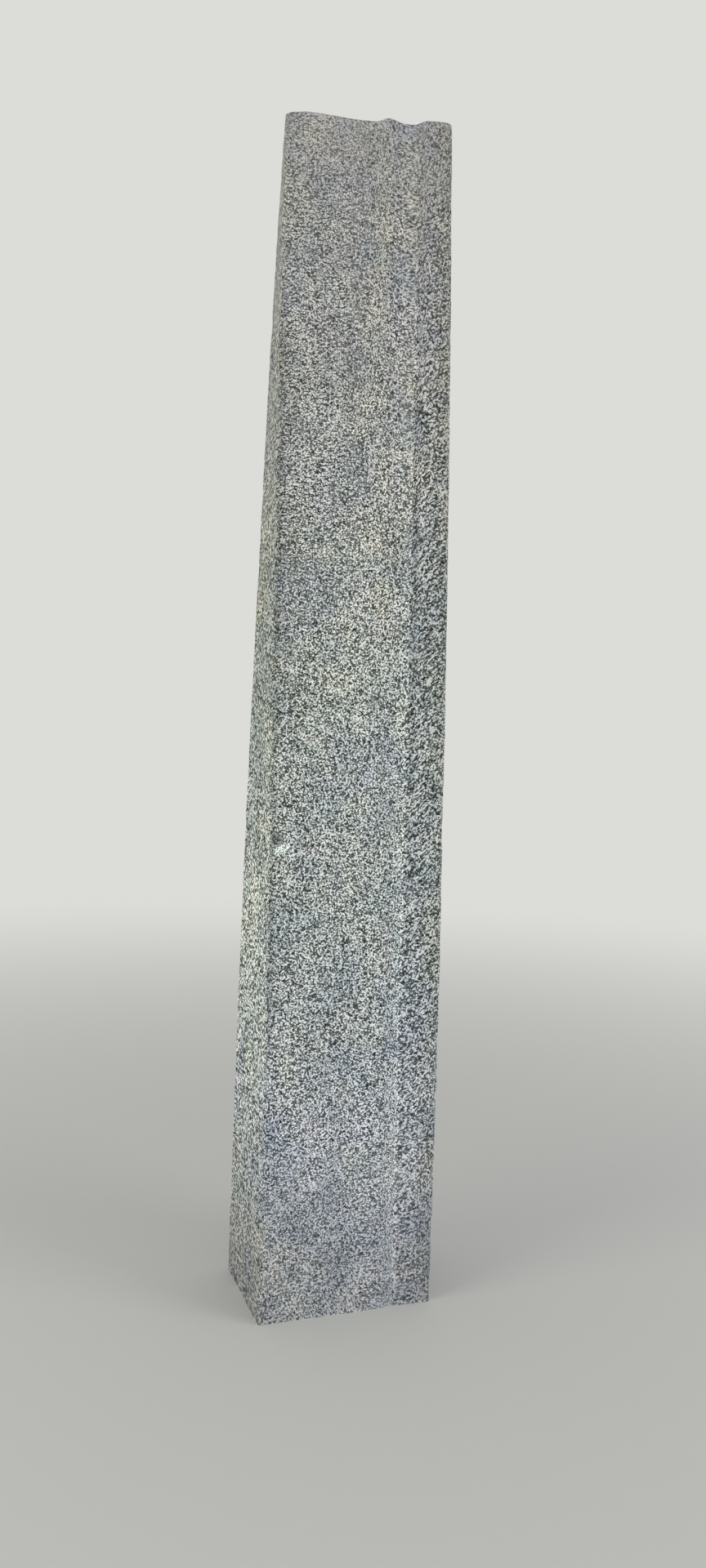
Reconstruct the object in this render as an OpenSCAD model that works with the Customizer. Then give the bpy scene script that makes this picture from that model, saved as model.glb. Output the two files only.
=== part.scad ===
// Granite shaft, cut from one stone. It tapers and swells a little, and its section turns as it
// rises. Two flutes are cut into the front: a long one that dies out half way down, and a crease
// beside the right-hand band that runs to the ground. All sizes are in millimetres.
// The front of the foot faces -Y, and lengths along the front are taken from its left arris.

/* [Shaft] */
// Height above the ground
shaft_h = 3000; // [2600:50:3400]
// Width of the front at the foot
foot_w = 470; // [455:5:520]
// Depth from front to back at the foot
foot_d = 330; // [280:5:400]
// Width of the front at the top
top_w = 412; // [400:2:440]
// Depth from front to back at the top
top_d = 300; // [250:5:340]
// Extra width and depth at mid height
swell = 13; // [0:1:25]
// Radius of the worn arrises
arris_r = 8; // [4:1:14]
// Radius of the worn rim round the top
rim_r = 8; // [4:1:14]

/* [Turn] */
// Turn of the top against the foot in degrees, clockwise seen from above
turn = 14; // [0:1:22]
// How strongly the turn gathers toward the top, 1 for an even turn
turn_gather = 1.5; // [1:0.1:2.5]

/* [Long flute] */
// Flat panel left of the long flute
panel_w = 45; // [25:5:70]
// Deepest line of the long flute at the top
long_top_x = 224; // [190:2:235]
// Deepest line of the long flute where it would reach the foot
long_foot_x = 258; // [220:2:290]
// Depth of the long flute at the top
long_d = 22; // [0:1:32]
// Height at which the long flute has died out
long_end_h = 1500; // [900:50:2200]

/* [Rib] */
// Crest of the rib between the flutes at the top
rib_top_x = 256; // [250:1:270]
// Crest of the rib at the foot
rib_foot_x = 328; // [310:2:345]

/* [Crease] */
// Width of the fall from the rib to the crease at the top
fall_top_w = 39; // [22:1:44]
// Width of the same fall at the foot
fall_foot_w = 26; // [16:1:34]
// Width of the crease's flat bottom at the top
floor_top_w = 39; // [12:1:42]
// Width of the crease's flat bottom at the foot
floor_foot_w = 6; // [4:1:16]
// Width of the rise from the crease to the right-hand band at the top
rise_top_w = 18; // [14:1:30]
// Width of the same rise at the foot
rise_foot_w = 60; // [40:1:68]
// Depth of the crease at the top
crease_top_d = 20; // [0:1:28]
// Depth of the crease at the foot
crease_foot_d = 6; // [0:1:14]
// Height above which the crisp right edge of the crease's bottom softens toward the top
crisp_h = 2000; // [1200:50:2400]

/* [Hidden] */
granite_colour = "#9c9e9f";
// Levels between the ground and the rim, and steps round the rim and each arris
levels = 48;
rim_steps = 3;
arris_steps = 3;
// Steps across each zone of the front: panel, long flute's two sides, crease's fall, bottom and rise, band
front_steps = [3, 8, 5, 5, 2, 5, 3];
side_steps = 3;
back_steps = 6;
// How far the shaft runs on below the ground before its foot is cut level
foot_spare = 20;

// Value between the foot's and the top's, at share s of the height
function rising(foot, top, s) = foot + (top - foot) * s;

// Smooth step from 0 to 1, level at both ends
function ease(t) = (1 - cos(180 * min(max(t, 0), 1))) / 2;

// The straight taper and its swell
function tapered(foot, top, s) = rising(foot, top, s) + swell * 4 * s * (1 - s);
function width_at(s) = tapered(foot_w, top_w, s);
function depth_at(s) = tapered(foot_d, top_d, s);
function turn_at(s) = -turn * pow(s, turn_gather);

// 0 up to height from at share s of the height, easing to 1 at the top
function easing_in(from, s) = ease((s * shaft_h - from) / (shaft_h - from));

// How deep each flute is at share s of the height, and how crisp the crease's right edge is
function long_depth(s) = long_d * easing_in(long_end_h, s);
function crease_depth(s) = rising(crease_foot_d, crease_top_d, s);
function crispness(s) = 1 - easing_in(crisp_h, s);

// Where the flutes' lines lie, each from the one before it
function rib_x(s) = rising(rib_foot_x, rib_top_x, s);
function floor_from(s) = rib_x(s) + rising(fall_foot_w, fall_top_w, s);
function floor_to(s) = floor_from(s) + rising(floor_foot_w, floor_top_w, s);
function band_x(s) = floor_to(s) + rising(rise_foot_w, rise_top_w, s);

// Corners of the front's profile: distance from the left arris, depth below the face, and how crisp
// the edge is where the next zone begins
function front_lines(s) = [
    [arris_r, 0, 0],
    [panel_w, 0, 0],
    [rising(long_foot_x, long_top_x, s), long_depth(s), 0],
    [rib_x(s), 0, 0],
    [floor_from(s), crease_depth(s), 0],
    [floor_to(s), crease_depth(s), crispness(s)],
    [band_x(s), 0, 0],
    [width_at(s) - arris_r, 0, 0]
];

// A point between two lines of the front, on a curve that is level at b, and at a as far as a is soft
function between(a, b, t) = [
    a.x + (b.x - a.x) * t,
    a.y + (b.y - a.y) * rising(ease(t), sin(90 * t), a.z)
];

// The front, left to right, from arris to arris
function front(s) = let (lines = front_lines(s), half_w = width_at(s) / 2, half_d = depth_at(s) / 2) [
    for (zone = [0 : len(front_steps) - 1])
        for (i = [(zone == 0 ? 0 : 1) : front_steps[zone]])
            let (p = between(lines[zone], lines[zone + 1], i / front_steps[zone]))
            [p.x - half_w, p.y - half_d]
];

// Points of a plain face after its first, from a to b
function face(a, b, steps) = [for (i = [1 : steps]) a + (b - a) * i / steps];

// Points of a worn arris after its first, round centre c from angle a
function arris(c, a, steps) = [
    for (i = [1 : steps]) c + arris_r * [cos(a + 90 * i / arris_steps), sin(a + 90 * i / arris_steps)]
];

// The section at share s of the height, before it turns, anticlockwise from the front's left end
function section(s) = let (x = width_at(s) / 2, y = depth_at(s) / 2, r = arris_r) concat(
    front(s),
    arris([x - r, r - y], -90, arris_steps),
    face([x, r - y], [x, y - r], side_steps),
    arris([x - r, y - r], 0, arris_steps),
    face([x - r, y], [r - x, y], back_steps),
    arris([r - x, y - r], 90, arris_steps),
    face([-x, y - r], [-x, r - y], side_steps),
    arris([r - x, r - y], 180, arris_steps - 1)
);

// A ring of the shaft's skin at height z, drawn in by inset on every side
function ring(z, inset) = let (
    s = z / shaft_h,
    a = turn_at(s),
    kx = 1 - 2 * inset / width_at(s),
    ky = 1 - 2 * inset / depth_at(s)
) [
    for (p = section(s))
        let (q = [p.x * kx, p.y * ky])
        [q.x * cos(a) - q.y * sin(a), q.x * sin(a) + q.y * cos(a), z]
];

// Heights and insets of the rings: up the shaft, then over the rim
rings = concat(
    [for (i = [0 : levels]) [(shaft_h - rim_r) * i / levels, 0]],
    [
        for (i = [1 : rim_steps])
            let (a = 90 * i / rim_steps)
            [shaft_h - rim_r * (1 - sin(a)), rim_r * (1 - cos(a))]
    ]
);

// The skin: rings joined by triangles, and each end closed by triangles round its middle
module shaft_skin() {
    n = len(section(0));
    last = n * (len(rings) - 1);
    foot_middle = last + n;
    top_middle = foot_middle + 1;
    skin = [
        for (k = [0 : len(rings) - 2])
            for (j = [0 : n - 1])
                let (a = k * n + j, b = k * n + (j + 1) % n)
                each [[a, a + n, b + n], [a, b + n, b]]
    ];
    foot = [for (j = [0 : n - 1]) [foot_middle, j, (j + 1) % n]];
    cap = [for (j = [0 : n - 1]) [top_middle, last + (j + 1) % n, last + j]];
    polyhedron(
        points = concat([for (r = rings) each ring(r[0], r[1])], [[0, 0, -foot_spare], [0, 0, shaft_h]]),
        faces = concat(skin, foot, cap),
        convexity = 4
    );
}

// The stone, with its foot cut level at the ground
module granite_shaft() {
    color(granite_colour)
        difference() {
            shaft_skin();
            translate([-foot_w, -foot_d, -2 * foot_spare])
                cube([2 * foot_w, 2 * foot_d, 2 * foot_spare]);
        }
}

granite_shaft();
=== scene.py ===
"""Fluted granite shaft: the dressed and weathered skin of the stone, with its floor, light and view.

The skin is the solid's own loft, divided finely and worn inward. Lengths are in metres, Z is up and the
front of the foot faces -Y. Places on the skin are given as it is unrolled: across from the front's left
end, anticlockwise seen from above, and up from the ground.
"""

import math

import bpy
import numpy as np
from mathutils import Matrix, Vector


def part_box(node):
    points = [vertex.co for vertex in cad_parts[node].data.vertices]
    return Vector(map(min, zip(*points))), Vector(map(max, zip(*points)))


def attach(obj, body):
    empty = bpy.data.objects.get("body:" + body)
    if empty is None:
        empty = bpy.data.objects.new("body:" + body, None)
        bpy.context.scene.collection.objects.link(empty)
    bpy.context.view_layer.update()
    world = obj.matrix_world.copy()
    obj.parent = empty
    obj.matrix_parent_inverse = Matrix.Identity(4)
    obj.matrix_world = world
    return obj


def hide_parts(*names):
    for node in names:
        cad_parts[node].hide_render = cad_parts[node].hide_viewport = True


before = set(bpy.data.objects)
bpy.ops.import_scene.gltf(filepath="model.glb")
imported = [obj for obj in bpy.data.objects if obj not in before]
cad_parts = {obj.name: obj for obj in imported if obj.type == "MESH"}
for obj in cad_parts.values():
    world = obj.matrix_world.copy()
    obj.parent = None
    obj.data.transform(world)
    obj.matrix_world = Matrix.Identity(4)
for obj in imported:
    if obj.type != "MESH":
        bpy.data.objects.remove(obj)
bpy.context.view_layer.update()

MM = 0.001
SHAFT_NODE = "granite_shaft"
SHAFT_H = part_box(SHAFT_NODE)[1][2]

# Stretches of the solid's section, in order from the front's left end: how many facets the solid has
# there, and how many columns of the finer skin go on each facet
STRETCHES = {
    "panel": (3, 2),
    "flute fall": (8, 4),
    "flute rise": (5, 2),
    "crease fall": (5, 1),
    "crease floor": (2, 2),
    "crease rise": (5, 2),
    "band": (3, 3),
    "right front arris": (3, 1),
    "right side": (3, 11),
    "right back arris": (3, 1),
    "back": (6, 7),
    "left back arris": (3, 1),
    "left side": (3, 17),
    "left front arris": (3, 1),
}

# Rows of the finer skin on each of the solid's levels that is taller than TALL_LEVEL, rows from the rim to
# the middle of the top, and how often each column is evened out with the ones beside it
ROWS_PER_LEVEL = 9
TALL_LEVEL = 20 * MM
TOP_ROWS = 14
EVENED = 2

# The solid's points nearer to its axis than AXIS_CLEAR are the middles of its ends, and those of its foot
# within FRONT_MARGIN of the foremost are on the front
AXIS_CLEAR = 20 * MM
FRONT_MARGIN = 0.1 * MM

# Degrees from face to face at which an edge still shows as sharp
SHARP_ANGLE = 70

# Layers of unevenness. Each is its seed, its strength, and the size of its lumps across and up
SKIN_LAYERS = ((1, 0.4, 0.22, 0.30), (2, 0.3, 0.055, 0.06), (3, 0.3, 0.016, 0.016))
TOP_LAYERS = ((40, 0.5, 0.09, 0.09), (41, 0.35, 0.02, 0.02))
CLOUDS = ((50, 1, 0.035, 0.04), (51, 0.6, 0.12, 0.14))
REDDER_SPECKS = ((52, 0.012, 0.02, 0.02),)
BLUER_SPECKS = ((53, 0.014, 0.09, 0.1), (54, 0.012, 0.025, 0.025))
FRESHER_SPECKS = ((55, 0.1, 0.02, 0.02),)

# What is worn off the skin and off the top, in millimetres, before the layers of unevenness. On the top it
# begins at the rim and is all there at a share of the way to the middle, which is worn more
SKIN_WORN = 1.1
TOP_WORN = 0.6
TOP_RIM_SHARE = 0.25
MIDDLE_WORN = 1 * MM

# The arrises, and how many millimetres each has lost at the top. The left front one, which comes first, is
# worn most
ARRISES = {"left front": 5, "right front": 1, "right back": 1, "left back": 1}

# From where an arris begins to its middle, and the half widths of what is worn off the arrises and off
# their top corners
TO_ARRIS_MIDDLE = 6 * MM
ARRIS_REACH = 9 * MM
CORNER_REACH = 22 * MM

# How rough the arrises are, how they are chipped, and the notches in the rim of the top. Each has its first
# seed, the length of its lumps, and its depth in millimetres for an unevenness of 1. A chip or a notch is
# cut where the unevenness passes a limit, and only so far
ROUGH_SEED, ROUGH_LENGTH, ROUGH_DEPTH = 10, 0.035, 0.6
CHIP_SEED, CHIP_LENGTH, CHIP_DEPTH = 20, 0.018, 2.6
CHIP_LIMIT, CHIP_MOST = 1.1, 1.2
NOTCH_SEED, NOTCH_LENGTH, NOTCH_DEPTH = 30, 0.03, 1.6
NOTCH_LIMIT, NOTCH_MOST = 0.5, 1.5
NOTCH_REACH = 7 * MM

# A scar beside the left front arris, where a flake has come off: its place across and up, its half width
# and half height, and its depth in millimetres. Then how much lighter it is, and the two pale lips under it
SCAR = (14 * MM, 1.224, 18 * MM, 18 * MM)
SCAR_DEPTH = 1.8
SPOTS = ((SCAR, -0.45), ((17 * MM, 1.197, 12 * MM, 8 * MM), 1.5), ((39 * MM, 1.204, 11 * MM, 7 * MM), 1.0))

# How light each stretch of the dressed stone is where it begins and where it ends, against the panel. The
# lighter fall and floor of the crease are painted light, and the darker rise, band and right front arris
# are painted shade, as those faces turn to and from a light at the right
TONES = {
    "panel": (0.96, 0.99),
    "flute fall": (0.99, 1.02),
    "flute rise": (1.02, 1.04),
    "crease fall": (1.04, 1.14),
    "crease floor": (1.14, 1.16),
    "crease rise": (0.84, 0.88),
    "band": (0.88, 0.75),
    "right front arris": (0.72, 0.84),
    "right side": (0.9, 0.94),
    "right back arris": (0.95, 1.0),
    "back": (1.0, 1.0),
    "left back arris": (1.0, 1.0),
    "left side": (1.02, 1.02),
    "left front arris": (1.02, 0.98),
}

# Over how much of the skin one stretch's tone passes into the next one's
TONE_STEP = 0.5 * MM

# How far the crease's pale floor, whose paleness is painted light, rolls over its crisp edge, how far the
# left side rolls over its front arris, and over how much of the skin the crease's and the band's finish
# come in
EDGE_ROLL = 6 * MM
SIDE_ROLL = 8 * MM
CREASE_PASSAGE = 6 * MM
BAND_PASSAGE = 12 * MM

# Lighter and darker streaks up the skin: the dark margin of the left front arris and the painted shadow on
# the border beside it, the pale edge of the crease, which is painted light, and the painted shade beyond it.
# Each is the stretch it is measured from, how far from where that begins its middle is, its half width, how
# much lighter it is, and how strong it is at some heights
STREAKS = (
    ("panel", 1 * MM, 8 * MM, -0.3, (0.6, 0.8, 2.5, 2.7), (0.2, 1, 1, 0)),
    ("panel", 20 * MM, 22 * MM, -0.13, (1.5, 1.7, 2.3, 2.5), (0, 1, 1, 0)),
    ("crease rise", 0 * MM, 4 * MM, 0.22, (0.3, 0.7, 1.4, 1.9), (0.45, 1, 1, 0)),
    ("crease rise", 18 * MM, 10 * MM, -0.14, (1.0, 1.4, 2.2, 2.5), (0, 1, 1, 0)),
)

# How much lighter the arrises after the first are and the half width of that, and how much lighter the rim
# of the top is and how far down
ARRIS_LIGHTER = 0.12
ARRIS_PALE = 5 * MM
RIM_LIGHTER = 0.2
RIM_PALE = 22 * MM

# How light the left side and the rest are at some heights, in metres. This is painted light and shade:
# darker towards the foot and the top, and the left side in painted shadow at its foot and above about 1.3 m
TONE_HEIGHTS = (0, 0.14, 0.3, 0.5, 0.9, 1.3, 1.8, 2.2, 3.0)
SIDE_TONES = (0.52, 0.6, 0.79, 0.96, 1.01, 0.86, 0.7, 0.73, 0.78)
OTHER_TONES = (0.8, 0.84, 0.97, 1.03, 1.01, 0.97, 0.92, 0.88, 0.83)

# How much lighter, redder and bluer the clouds in the stone are
CLOUDS_LIGHTER = 0.055
CLOUDS_REDDER = 0.014
CLOUDS_BLUER = -0.022

# How much redder and bluer than its usual grey the stone is at some heights, and how much bluer the left
# side is. What is less blue is yellower. These are the painted colour of the light: warm at the top, green
# from leaves in the middle, cool in the shade at the foot, and yellower on the left side
TINT_HEIGHTS = (0, 0.4, 0.9, 1.6, 2.3, 3.0)
REDDER = (0.02, 0.0, -0.03, -0.03, 0.03, 0.08)
BLUER = (0.09, 0.07, 0.0, -0.03, -0.01, 0.02)
SIDE_BLUER = -0.045

# How much bluer the band is at its edge, and from where to where about that edge the blue comes in. It has
# turned to as much yellow where the right side begins, and is gone where that ends
BAND_BLUER = 0.07
BLUE_FROM = -4 * MM
BLUE_TO = 5 * MM
BLUE_COURSE = (0, 1, -1, 0)

# How fresh the tooling is at some heights, 1 where it is crisp and 0 where it is weathered: the foot and
# the top are weathered most
FRESH_HEIGHTS = (0.1, 0.3, 0.5, 0.75, 1.5, 2.1, 2.5, 2.75, 3.0)
FRESHNESS = (0.5, 0.66, 0.86, 1.05, 1.05, 0.96, 0.76, 0.56, 0.2)

# How much of the freshness the scar, its lips and the rim have lost, how much the crease has lost at two
# heights, and how much fresher the left side is
RUBBED = 0.8
CREASE_HEIGHTS = (1.8, 2.4)
CREASE_RUBBED = (0.08, 0.36)
SIDE_FRESHER = 0.08

# Where the flakes lie level: from a height on, and on the left until a little short of the flute's rise.
# They come to lie so over a passage, which has a height and a width
LEVEL_FROM = 1.75
LEVEL_PASSAGE_H = 0.25
LEVEL_SHORT = 40 * MM
LEVEL_PASSAGE_W = 60 * MM

# How strong the slanting strokes on the band are at some heights
STROKE_HEIGHTS = (0.6, 1.2, 2.1, 2.4)
STROKE_STRENGTHS = (0.2, 1, 1, 0.4)

# Flakes on some stretches against the panel's: times as large, degrees of lean from level, times as long
LAID = {
    "crease rise": (1, 45, 1.4),
    "band": (1, 45, 1.4),
    "left side": (1.5, 0, 1.7),
}

# The flakes that the point leaves: their size, their leans in degrees from level, and how many times as
# long they are along those. The last two are for where they lie level
FLAKE = 3.03 * MM
LEANS = (15, 75, 135)
DRAWN_OUT = 2.2
LEVEL_LEANS = (-25, 0, 30)
LEVEL_DRAWN_OUT = 2.0

# How far a flake's outline is bent, how far it falls from its middle to one size away, and how much all of
# them are raised
FLAKE_BEND = 0.36
FLAKE_FALL = 0.86
FLAKE_LIFT = 0.19

# The hollows between flakes: how many there are along a flake, how rough they are, the part of their noise
# that spans their depth, and their share in the height
HOLLOWS_PER_FLAKE = 0.53
HOLLOW_ROUGHNESS = 0.6
HOLLOW_SPAN = (0.36, 0.64)
HOLLOW_SHARE = 0.26

# The strokes of the point on the band: how wide, how many times as long, and how high against a flake
STROKE = 6.5 * MM
STROKE_LONGER = 5
STROKE_HEIGHT = 0.5

# How the height is stretched to run from 0 in the deepest hollows to 1 on the highest flakes, and how far
# apart those stand
HEIGHT_GAIN = 1.94
HEIGHT_CUT = 0.437
RELIEF = 1 * MM

# Heights from the hollows to the flakes, and the stone's colours there where its tooling is crisp and where
# it is weathered. The darkness of the hollows is partly the stone's own colour and partly painted shade
COLOUR_HEIGHTS = (0, 0.33, 0.67, 1)
CRISP_COLOURS = ("#010a08", "#4e5655", "#6b7271", "#fcfdff")
WEATHERED_COLOURS = ("#4a5251", "#848a89", "#939998", "#c2c6c5")

# Roughness in the hollows and on the flakes, and the index of refraction of quartz and feldspar
HOLLOW_MATT = 0.95
FLAKE_MATT = 0.75
GRANITE_IOR = 1.55

# The floor: how far it runs, its corners, between which distances it passes into the backdrop, and its
# paint
FLOOR_REACH = 80
FLOOR_CORNERS = 64
FLOOR_FADE = (0.7, 7.0)
FLOOR_COLOUR = "#cfcfcc"
FLOOR_MATT = 0.95
BACKDROP = "#dcdcd9"

# The soft boxes by place, watts and colour, their width, and the even light of the room
LAMPS = {
    "key": ((4.2, -4.1, 2.4), 106, "#fbfeff"),
    "fill": ((-5.2, -1.7, 1.7), 128, "#fcffee"),
}
LAMP_WIDTH = 3.0
ROOM_LIGHT = 0.56

# The view: a camera held at eye height, a little left of the front. Its angles are in degrees, and its
# focal length is in pixels of a frame this high
EYE_HEIGHT = 1.524
VIEW_DISTANCE = 3.11
VIEW_TURN = 19.31
VIEW_SIDE = 26.8 * MM
VIEW_DOWN = 3.103
VIEW_ROLL = 1.89
FOCAL_PX = 1443
FRAME_H_PX = 1920
SENSOR_MM = 36


# The skin's form


def in_order(ring):
    """The points of one level in order round the shaft, anticlockwise, walked by the shortest steps."""
    walk, left = [0], np.arange(1, len(ring))
    while len(left):
        nearest = int(np.argmin(np.square(ring[left] - ring[walk[-1]]).sum(axis=1)))
        walk.append(int(left[nearest]))
        left = np.delete(left, nearest)
    ring = ring[walk]
    ahead = np.roll(ring, -1, axis=0)
    area = (ring[:, 0] * ahead[:, 1] - ahead[:, 0] * ring[:, 1]).sum()
    return ring if area > 0 else ring[::-1]


def solid_rings():
    """The solid's loft as levels by points by x, y and z. Point j is on the same line at every level."""
    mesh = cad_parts[SHAFT_NODE].data
    found = np.empty(3 * len(mesh.vertices))
    mesh.vertices.foreach_get("co", found)
    points = np.unique(found.reshape(-1, 3).round(6), axis=0)
    points = points[np.hypot(points[:, 0], points[:, 1]) > AXIS_CLEAR]
    rings = []
    levels = points[:, 2].round(4)
    for level in np.unique(levels):
        ring = in_order(points[levels == level])
        if rings:
            moved = [np.square(np.roll(ring, -i, axis=0) - rings[-1]).sum() for i in range(len(ring))]
            first = int(np.argmin(moved))
        else:
            front = np.flatnonzero(ring[:, 1] < ring[:, 1].min() + FRONT_MARGIN)
            first = front[np.argmin(ring[front, 0])]
        rings.append(np.roll(ring, -first, axis=0))
    return np.array(rings)


def divided(points, steps):
    """Points along the first axis with the stretch after each one divided into its number of steps."""
    at = np.concatenate([i + np.arange(n) / n for i, n in enumerate(steps)])
    low = at.astype(int)
    high = np.minimum(low + 1, len(points) - 1)
    share = (at - low).reshape(-1, *[1] * (points.ndim - 1))
    return points[low] * (1 - share) + points[high] * share


def plain_skin():
    """The solid's skin as rows by columns by x, y and z, from the ground over the rim to the top."""
    rings = solid_rings()
    columns = [n for facets, n in STRETCHES.values() for _ in range(facets)]
    closed = np.concatenate([rings, rings[:, :1]], axis=1)
    wide = divided(closed.transpose(1, 0, 2), columns).transpose(1, 0, 2)
    rises = np.diff(rings[:, 0, 2])
    rows = [ROWS_PER_LEVEL if rise > TALL_LEVEL else 1 for rise in rises]
    grid = divided(wide, rows + [1])
    for _ in range(EVENED):
        grid = (np.roll(grid, 1, axis=1) + 2 * grid + np.roll(grid, -1, axis=1)) / 4
    return grid


def unrolled(skin):
    """How far across the unrolled skin each column is, and the girth at which it closes."""
    steps = np.linalg.norm(np.roll(skin, -1, axis=1) - skin, axis=2).mean(axis=0)
    return np.concatenate([[0], np.cumsum(steps)[:-1]]), steps.sum()


def outward(grid):
    """Unit vectors out of the skin at each point of the grid."""
    along = np.roll(grid, -1, axis=1) - np.roll(grid, 1, axis=1)
    up = np.gradient(grid, axis=0)
    normal = np.cross(along, up)
    return normal / np.linalg.norm(normal, axis=2, keepdims=True)


def lump(gap):
    """A smooth bump of width 4 round 0, of the kind that sums to 1 on whole numbers."""
    gap = np.abs(gap)
    return np.where(gap < 1, 2 / 3 - gap**2 + gap**3 / 2, np.clip(2 - gap, 0, None) ** 3 / 6)


def uneven(seed, a, b, size_a, size_b, closing=None):
    """Random unevenness at places a and b, mostly within -2 to 2, in lumps of the sizes given.

    Where closing is given, it closes smoothly there along a.
    """
    count_a = round(closing / size_a) if closing else int(np.ptp(a) / size_a) + 5
    a = a / closing * count_a if closing else (a - a.min()) / size_a + 2
    b = (b - b.min()) / size_b + 2
    heights = np.random.default_rng(seed).standard_normal((count_a, int(b.max()) + 4))
    total = np.zeros(np.broadcast(a, b).shape)
    for i in range(-1, 3):
        for j in range(-1, 3):
            at_a, at_b = np.floor(a).astype(int) + i, np.floor(b).astype(int) + j
            total += heights[at_a % count_a, at_b] * lump(a - at_a) * lump(b - at_b)
    return 2 * total


def layered(layers, a, b, closing=None):
    """Layers of unevenness over each other at places a and b."""
    return sum(strength * uneven(seed, a, b, *size, closing) for seed, strength, *size in layers)


# Places on the skin


def first_column(stretch):
    """The number of the skin's column at which a stretch begins."""
    names = list(STRETCHES)
    before = names[: names.index(stretch)]
    return sum(facets * n for facets, n in (STRETCHES[name] for name in before))


def start_of(stretch):
    """How far across the skin a stretch begins."""
    return across[first_column(stretch)]


def band_edge():
    """How far across the skin the band begins to the eye, past the roll of the crease's floor, whose paleness
    is painted light.
    """
    return start_of("crease rise") + EDGE_ROLL


def from_line(place):
    """How far each column is from a line up the skin, the short way round."""
    return np.abs((across - place + girth / 2) % girth - girth / 2)


def from_arris(name):
    """How far each column is from the middle of an arris."""
    return from_line(start_of(name + " arris") + TO_ARRIS_MIDDLE)


def bell(gap, width):
    """1 where the gap is 0, falling smoothly to about a third at the width and to 0 beyond it."""
    return np.exp(-((gap / width) ** 2))


def spot(b, place, up, half_w, half_h):
    """1 over a spot of the skin, falling steeply to 0 round it."""
    return np.exp(-(((from_line(place) / half_w) ** 2 + ((b - up) / half_h) ** 2) ** 2))


def stretch_mask(first, last, blend):
    """1 on the columns between two places across the skin, easing to 0 over blend on either side."""
    rise = np.clip((across - first) / blend + 0.5, 0, 1)
    fall = np.clip((last - across) / blend + 0.5, 0, 1)
    return rise * fall


# How the stone is worn


def wear(b):
    """How deep the skin is worn in at each point, in metres. b holds the heights of the rows."""
    depth = np.clip(SKIN_WORN + layered(SKIN_LAYERS, across, b, girth), 0, None)
    for i, (name, lost) in enumerate(ARRISES.items()):
        rough = np.clip(uneven(ROUGH_SEED + i, 0 * b, b, 1, ROUGH_LENGTH), 0, None)
        chips = np.clip(uneven(CHIP_SEED + i, 0 * b, b, 1, CHIP_LENGTH) - CHIP_LIMIT, 0, CHIP_MOST)
        worn = ROUGH_DEPTH * rough + CHIP_DEPTH * chips + lost * bell(SHAFT_H - b, CORNER_REACH)
        depth = depth + bell(from_arris(name), ARRIS_REACH) * worn
    notches = np.clip(uneven(NOTCH_SEED, across, b, NOTCH_LENGTH, 1, girth) - NOTCH_LIMIT, 0, NOTCH_MOST)
    depth = depth + NOTCH_DEPTH * notches * bell(SHAFT_H - b, NOTCH_REACH)
    return (depth + SCAR_DEPTH * spot(b, *SCAR)) * MM


def worn_top(rim):
    """Rows of points from inside the rim nearly to the middle of the top, and the point at its middle."""
    middle = np.array([0, 0, rim[:, 2].mean()])
    share = (1 - np.arange(1, TOP_ROWS) / TOP_ROWS)[:, None, None]
    top = middle + (rim - middle) * share
    depth = np.clip(TOP_WORN + layered(TOP_LAYERS, top[..., 0], top[..., 1]), 0, None) * MM
    top[..., 2] -= depth * np.clip((1 - share[..., 0]) / TOP_RIM_SHARE, 0, 1)
    return top, middle - [0, 0, MIDDLE_WORN]


def closed_faces(rows, columns):
    """Quads between rows of columns round the shaft, and triangles that close the last row round the next
    point and the first row round the one after it."""
    j = np.arange(columns)
    ahead = (j + 1) % columns
    low = (np.arange(rows - 1) * columns)[:, None]
    quads = np.stack([low + j, low + ahead, low + columns + ahead, low + columns + j], axis=-1).reshape(-1, 4)
    last = (rows - 1) * columns
    over = np.stack([last + j, last + ahead, np.full(columns, rows * columns)], axis=-1)
    under = np.stack([ahead, j, np.full(columns, rows * columns + 1)], axis=-1)
    return quads.tolist() + over.tolist() + under.tolist()


def lay_flakes(mesh, points, b):
    """Lays the tool marks by a UV map of the unrolled skin, and of the top and the foot seen from above."""
    columns = len(across)
    corners = np.empty(len(mesh.loops), dtype=int)
    mesh.loops.foreach_get("vertex_index", corners)
    on_skin, on_ends = np.split(corners, [4 * (len(b) - 1) * columns])
    row, column = np.divmod(on_skin, columns)
    quads = np.stack([across[column], b[row, 0]], axis=-1).reshape(-1, columns, 4, 2)
    quads[:, -1, 1:3, 0] = girth
    for stretch, (larger, lean, longer) in LAID.items():
        facets, finer = STRETCHES[stretch]
        first = first_column(stretch)
        last = first + facets * finer
        turned = Matrix.Rotation(math.radians(-lean), 2)
        quads[:, first:last] = quads[:, first:last] @ (np.array(turned).T / (larger * longer, larger))
    layer = mesh.uv_layers.new(name="unrolled")
    layer.uv.foreach_set("vector", np.concatenate([quads.ravel(), points[on_ends, :2].ravel()]))


# How the stone looks from place to place


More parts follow.
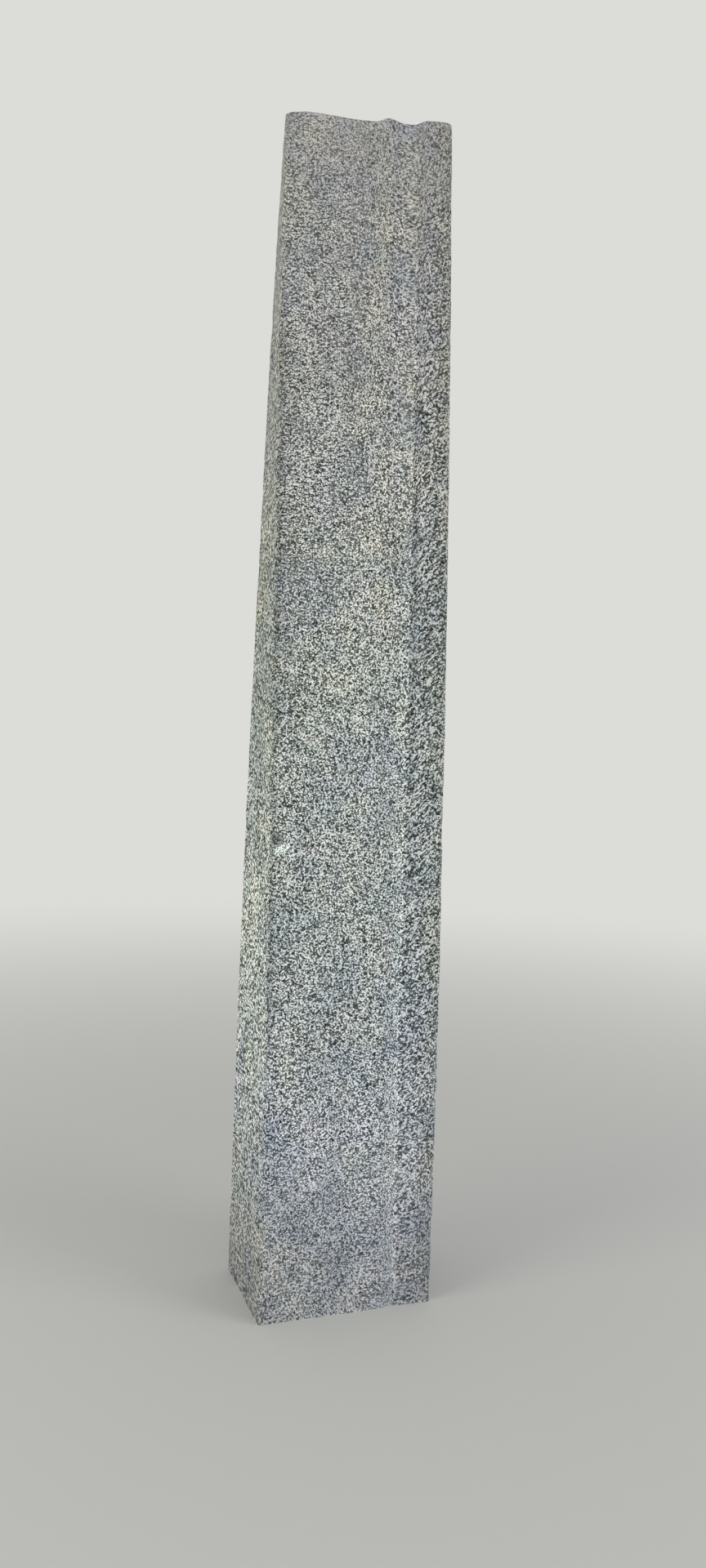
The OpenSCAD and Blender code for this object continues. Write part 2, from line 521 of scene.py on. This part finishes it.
def tones(b, clouds, side):
    """How light the stone is at each point, against its usual grey, with its painted light and shade."""
    starts = np.array([start_of(name) + EDGE_ROLL * (name == "crease rise") for name in TONES])
    ends = np.append(starts[1:], girth) - TONE_STEP
    tone = np.interp(across, np.stack([starts, ends], axis=1).ravel(), np.ravel(list(TONES.values())))
    pale_arrises = list(ARRISES)[1:]
    tone = tone + ARRIS_LIGHTER * sum(bell(from_arris(name), ARRIS_PALE) for name in pale_arrises)
    for stretch, beyond, half_w, lighter, heights, strengths in STREAKS:
        streak = bell(from_line(start_of(stretch) + beyond), half_w) * np.interp(b, heights, strengths)
        tone = tone + lighter * streak
    tone = tone + RIM_LIGHTER * bell(SHAFT_H - b, RIM_PALE)
    tone = tone + sum(lighter * spot(b, *place) for place, lighter in SPOTS)
    on_side = np.interp(b, TONE_HEIGHTS, SIDE_TONES) * side
    elsewhere = np.interp(b, TONE_HEIGHTS, OTHER_TONES) * (1 - side)
    return tone * (1 + CLOUDS_LIGHTER * clouds) * (elsewhere + on_side)


def tints(b, clouds, side):
    """How much redder and how much bluer than its usual grey the stone is at each point, with the painted
    colour of the light by height and on the left side.
    """
    redder = np.interp(b, TINT_HEIGHTS, REDDER) + CLOUDS_REDDER * clouds
    redder = redder + layered(REDDER_SPECKS, across, b, girth)
    bluer = np.interp(b, TINT_HEIGHTS, BLUER) + CLOUDS_BLUER * clouds + SIDE_BLUER * side
    edge = band_edge()
    course = (edge + BLUE_FROM, edge + BLUE_TO, start_of("right side"), start_of("right back arris"))
    bluer = bluer + BAND_BLUER * np.interp(across, course, BLUE_COURSE)
    return redder, bluer + layered(BLUER_SPECKS, across, b, girth)


def freshness(b, side):
    """How fresh the tooling is at each point, 1 where it is crisp and 0 where it is weathered."""
    fresh = np.interp(b, FRESH_HEIGHTS, FRESHNESS) * (1 + layered(FRESHER_SPECKS, across, b, girth))
    fresh = fresh * (1 - RUBBED * np.clip(sum(spot(b, *place) for place, _ in SPOTS), 0, 1))
    fresh = fresh * (1 - RUBBED * bell(SHAFT_H - b, RIM_PALE))
    in_crease = stretch_mask(start_of("crease floor"), band_edge(), CREASE_PASSAGE)
    fresh = fresh * (1 - in_crease * np.interp(b, CREASE_HEIGHTS, CREASE_RUBBED))
    return np.clip(fresh * (1 + SIDE_FRESHER * side), 0, 1)


def finish_and_painted_light_by_place(b):
    """Where each way of tooling shows, how fresh it is, and the stone's tint at each point of the skin, which
    holds painted light and shade.
    """
    side = stretch_mask(start_of("left side"), start_of("left front arris") + SIDE_ROLL, SIDE_ROLL)
    left_part = stretch_mask(-girth, start_of("flute rise") - LEVEL_SHORT, LEVEL_PASSAGE_W)
    on_band = stretch_mask(band_edge(), start_of("right front arris"), BAND_PASSAGE)
    clouds = layered(CLOUDS, across, b, girth)
    tone = tones(b, clouds, side)
    redder, bluer = tints(b, clouds, side)
    return {
        "level": left_part * np.clip((b - LEVEL_FROM) / LEVEL_PASSAGE_H, 0, 1),
        "slanting": on_band * np.interp(b, STROKE_HEIGHTS, STROKE_STRENGTHS),
        "fresh": freshness(b, side),
        "tint": np.stack([tone * (1 + redder), tone, tone * (1 + bluer)], axis=-1),
    }


def keep_finish_and_painted_light(mesh, finish):
    """Keeps the finish, with its painted light and shade, with the mesh's points. The top and the foot get
    the mean of the rim's.
    """
    for name, values in finish.items():
        rows, columns, *parts = values.shape
        everywhere = np.empty((len(mesh.vertices), *parts))
        everywhere[: rows * columns] = values.reshape(-1, *parts)
        everywhere[rows * columns :] = values[-1].mean()
        kind, field = ("FLOAT_VECTOR", "vector") if parts else ("FLOAT", "value")
        attribute = mesh.attributes.new(name, kind, "POINT")
        attribute.data.foreach_set(field, everywhere.ravel())


def stone_mesh():
    """The worn skin, the top and the foot as one closed mesh, with its tool marks laid and its finish,
    painted light and shade among it.
    """
    b = skin[:, :1, 2]
    worn = skin - outward(skin) * wear(b)[..., None]
    worn[0, :, 2] = 0
    top, peak = worn_top(worn[-1])
    points = np.concatenate([worn.reshape(-1, 3), top.reshape(-1, 3), [peak, [0, 0, 0]]])
    mesh = bpy.data.meshes.new("stone")
    mesh.from_pydata(points.tolist(), [], closed_faces(len(worn) + len(top), len(across)))
    lay_flakes(mesh, points, b)
    keep_finish_and_painted_light(mesh, finish_and_painted_light_by_place(b))
    mesh.shade_smooth()
    mesh.set_sharp_from_angle(angle=math.radians(SHARP_ANGLE))
    return mesh


# The stone's material


def linear(hex_colour):
    """An sRGB hex colour as the linear red, green, blue and alpha that a socket takes."""
    parts = [int(hex_colour[i : i + 2], 16) / 255 for i in (1, 3, 5)]
    return [c / 12.92 if c <= 0.04045 else ((c + 0.055) / 1.055) ** 2.4 for c in parts] + [1.0]


def add(tree, kind, inputs=None, **settings):
    """Adds a node with its settings. Each input is a value, or the output that it is linked to."""
    node = tree.nodes.new("ShaderNode" + kind)
    for name, value in settings.items():
        setattr(node, name, value)
    for name, value in (inputs or {}).items():
        named = [socket for socket in node.inputs if socket.enabled and socket.name == name]
        socket = named[0] if named else node.inputs[name]
        if isinstance(value, bpy.types.NodeSocket):
            tree.links.new(value, socket)
        else:
            socket.default_value = value
    return node


def new_material(name):
    """A new material, its tree and its surface node."""
    material = bpy.data.materials.new(name)
    material.use_nodes = True
    tree = material.node_tree
    return material, tree, tree.nodes["Principled BSDF"]


def tool_marks(tree, places, leans, longer):
    """How high the tooled stone stands, about 0 in a hollow and 1 on a flake.

    Each lean has its own layer of flakes, which are drawn out along it, and the highest flake shows. The
    lean also shifts the layer, so that no two are alike.
    """
    ragged = add(tree, "TexNoise", {"Vector": places, "Scale": 1 / FLAKE, "Detail": 1}, noise_dimensions="2D")
    bend = (FLAKE_BEND * FLAKE, FLAKE_BEND * FLAKE, 0)
    bent = add(tree, "VectorMath", {0: ragged.outputs["Color"], 1: bend, 2: places}, operation="MULTIPLY_ADD")
    highest = 0
    for lean in leans:
        turn = {"Vector": bent.outputs[0], "Angle": -math.radians(lean)}
        turned = add(tree, "VectorRotate", turn, rotation_type="Z_AXIS")
        draw_out = {0: turned.outputs[0], 1: (1 / longer, 1, 1), 2: (lean, 0, 0)}
        drawn = add(tree, "VectorMath", draw_out, operation="MULTIPLY_ADD")
        placed = {"Vector": drawn.outputs[0], "Scale": 1 / FLAKE}
        cells = add(tree, "TexVoronoi", placed, voronoi_dimensions="2D")
        chance = add(tree, "SeparateColor", {"Color": cells.outputs["Color"]})
        fall = {0: cells.outputs["Distance"], 1: -FLAKE_FALL, 2: chance.outputs["Red"]}
        flake = add(tree, "Math", fall, operation="MULTIPLY_ADD")
        highest = add(tree, "Math", {0: highest, 1: flake.outputs[0]}, operation="MAXIMUM").outputs[0]
    raised = add(tree, "Math", {0: highest, 1: FLAKE_LIFT})
    broad = {"Vector": places, "Scale": HOLLOWS_PER_FLAKE / FLAKE, "Detail": 2, "Roughness": HOLLOW_ROUGHNESS}
    noise = add(tree, "TexNoise", broad, noise_dimensions="2D")
    low, high = HOLLOW_SPAN
    hollows = add(tree, "MapRange", {"Value": noise.outputs["Fac"], "From Min": low, "From Max": high})
    share = {"Factor": HOLLOW_SHARE, "A": raised.outputs[0], "B": hollows.outputs[0]}
    return add(tree, "Mix", share, data_type="FLOAT").outputs[0]


def with_strokes(tree, places, marks):
    """The tool marks with the point's long strokes over them on the band, where places lie along strokes."""
    along = add(tree, "VectorMath", {0: places, 1: (1 / STROKE_LONGER, 1, 1)}, operation="MULTIPLY")
    noise_inputs = {"Vector": along.outputs[0], "Scale": 1 / STROKE, "Detail": 1}
    noise = add(tree, "TexNoise", noise_inputs, noise_dimensions="2D")
    slanting = add(tree, "Attribute", attribute_name="slanting")
    stroke = add(tree, "Math", {0: noise.outputs["Fac"], 1: -0.5})
    amount = add(tree, "Math", {0: slanting.outputs["Fac"], 1: STROKE_HEIGHT}, operation="MULTIPLY")
    over = {0: stroke.outputs[0], 1: amount.outputs[0], 2: marks}
    return add(tree, "Math", over, operation="MULTIPLY_ADD").outputs[0]


def stone_height(tree):
    """How high the dressed stone stands, 0 in its deepest hollows and 1 on its highest flakes."""
    places = add(tree, "UVMap", uv_map="unrolled").outputs["UV"]
    level = add(tree, "Attribute", attribute_name="level").outputs["Fac"]
    all_ways = tool_marks(tree, places, LEANS, DRAWN_OUT)
    lying_level = tool_marks(tree, places, LEVEL_LEANS, LEVEL_DRAWN_OUT)
    marks = add(tree, "Mix", {"Factor": level, "A": all_ways, "B": lying_level}, data_type="FLOAT")
    stretch = {0: with_strokes(tree, places, marks.outputs[0]), 1: HEIGHT_GAIN, 2: -HEIGHT_CUT}
    return add(tree, "Math", stretch, operation="MULTIPLY_ADD", use_clamp=True).outputs[0]


def pointed_granite():
    """Grey granite dressed with a point: pale crushed flakes over each other, between dark, matt hollows
    whose darkness is partly painted shade.

    Where it is weathered, its flakes have dulled and its hollows have paled.
    """
    material, tree, surface = new_material("pointed grey granite")
    height = stone_height(tree)
    colours = []
    # The darkest colours, in the hollows, are partly painted shade
    for shades in (WEATHERED_COLOURS, CRISP_COLOURS):
        ramp = add(tree, "ValToRGB", {"Fac": height})
        stops = ramp.color_ramp.elements
        for at, shade in zip(COLOUR_HEIGHTS, shades):
            stop = stops[0] if at == 0 else stops[-1] if at == 1 else stops.new(at)
            stop.color = linear(shade)
        colours.append(ramp.outputs["Color"])
    fresh = add(tree, "Attribute", attribute_name="fresh").outputs["Fac"]
    mixing = {"Factor": fresh, "A": colours[0], "B": colours[1]}
    dressed = add(tree, "Mix", mixing, data_type="RGBA").outputs["Result"]
    # The tint carries painted light and shade and the painted colour of the light, with the stone's own tone
    tint = add(tree, "Attribute", attribute_name="tint").outputs["Vector"]
    tinted = add(tree, "VectorMath", {0: dressed, 1: tint}, operation="MULTIPLY")
    bump = add(tree, "Bump", {"Height": height, "Distance": RELIEF, "Strength": fresh})
    matt = add(tree, "MapRange", {"Value": height, "To Min": HOLLOW_MATT, "To Max": FLAKE_MATT})
    tree.links.new(tinted.outputs[0], surface.inputs["Base Color"])
    tree.links.new(matt.outputs["Result"], surface.inputs["Roughness"])
    tree.links.new(bump.outputs["Normal"], surface.inputs["Normal"])
    surface.inputs["IOR"].default_value = GRANITE_IOR
    return material


def add_stone():
    """Puts the worn stone in the solid's place."""
    stone = bpy.data.objects.new("worn_stone", stone_mesh())
    bpy.context.scene.collection.objects.link(stone)
    stone.data.materials.append(pointed_granite())
    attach(stone, "root")
    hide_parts(SHAFT_NODE)


# The stage


def seen_by_camera(tree):
    """1 for what the camera sees straight, in a mirror or through glass, and 0 for the light on the stone."""
    rays = add(tree, "LightPath")
    total = add(tree, "Math", {0: rays.outputs["Is Camera Ray"], 1: rays.outputs["Is Glossy Ray"]})
    through = {0: total.outputs[0], 1: rays.outputs["Is Transmission Ray"]}
    return add(tree, "Math", through, use_clamp=True).outputs[0]


def pale_floor():
    """Matt floor paint that takes the stone's shadow and passes into the backdrop further out."""
    material, tree, surface = new_material("pale matt floor")
    surface.inputs["Base Color"].default_value = linear(FLOOR_COLOUR)
    surface.inputs["Roughness"].default_value = FLOOR_MATT
    away = add(tree, "VectorMath", {0: add(tree, "NewGeometry").outputs["Position"]}, operation="LENGTH")
    near, far = FLOOR_FADE
    fade = {"Value": away.outputs["Value"], "From Min": near, "From Max": far}
    faded = add(tree, "MapRange", fade, interpolation_type="SMOOTHSTEP")
    share = add(tree, "Math", {0: faded.outputs["Result"], 1: seen_by_camera(tree)}, operation="MULTIPLY")
    backdrop = add(tree, "Emission", {"Color": linear(BACKDROP)})
    mixed = add(tree, "MixShader", {0: share.outputs[0], 1: surface.outputs[0], 2: backdrop.outputs[0]})
    tree.links.new(mixed.outputs[0], tree.nodes["Material Output"].inputs["Surface"])
    return material


def add_floor():
    """A round floor that runs out past the horizon."""
    mesh = bpy.data.meshes.new("floor")
    around = [math.tau * i / FLOOR_CORNERS for i in range(FLOOR_CORNERS)]
    rim = [(FLOOR_REACH * math.cos(t), FLOOR_REACH * math.sin(t), 0) for t in around]
    mesh.from_pydata(rim, [], [range(FLOOR_CORNERS)])
    floor = bpy.data.objects.new("floor", mesh)
    bpy.context.scene.collection.objects.link(floor)
    mesh.materials.append(pale_floor())


def add_lamp(name, place, watts, colour):
    """A square soft box that faces the middle of the shaft."""
    data = bpy.data.lights.new(name, "AREA")
    data.size = LAMP_WIDTH
    data.energy = watts
    data.color = linear(colour)[:3]
    lamp = bpy.data.objects.new(name, data)
    lamp.location = place
    aim = Vector((0, 0, SHAFT_H / 2)) - lamp.location
    lamp.rotation_euler = aim.to_track_quat("-Z", "Y").to_euler()
    bpy.context.scene.collection.objects.link(lamp)


def add_room():
    """Even light from all sides, and a pale backdrop where the camera looks past the floor."""
    world = bpy.data.worlds.new("room")
    world.use_nodes = True
    bpy.context.scene.world = world
    tree = world.node_tree
    tree.nodes.clear()
    light = add(tree, "Background", {"Color": linear("#ffffff"), "Strength": ROOM_LIGHT})
    backdrop = add(tree, "Background", {"Color": linear(BACKDROP)})
    seen = add(tree, "MixShader", {0: seen_by_camera(tree), 1: light.outputs[0], 2: backdrop.outputs[0]})
    output = add(tree, "OutputWorld")
    tree.links.new(seen.outputs[0], output.inputs["Surface"])


def add_camera():
    """A camera at the photograph's place, with its angle of view set up the frame's long side."""
    data = bpy.data.cameras.new("view")
    data.sensor_width = SENSOR_MM
    data.lens = SENSOR_MM * FOCAL_PX / FRAME_H_PX
    camera = bpy.data.objects.new("view", data)
    bpy.context.scene.collection.objects.link(camera)
    heading = Matrix.Rotation(math.radians(-VIEW_TURN), 4, "Z")
    stand = heading @ Vector((VIEW_SIDE, -VIEW_DISTANCE, 0)) + Vector((0, 0, EYE_HEIGHT))
    tilt = Matrix.Rotation(math.radians(90 - VIEW_DOWN), 4, "X")
    roll = Matrix.Rotation(math.radians(VIEW_ROLL), 4, "Z")
    camera.matrix_world = Matrix.Translation(stand) @ heading @ tilt @ roll
    bpy.context.scene.camera = camera


skin = plain_skin()
across, girth = unrolled(skin)
add_stone()
add_floor()
for name, (place, watts, colour) in LAMPS.items():
    add_lamp(name, place, watts, colour)
add_room()
add_camera()
bpy.context.scene.view_settings.view_transform = "Standard"
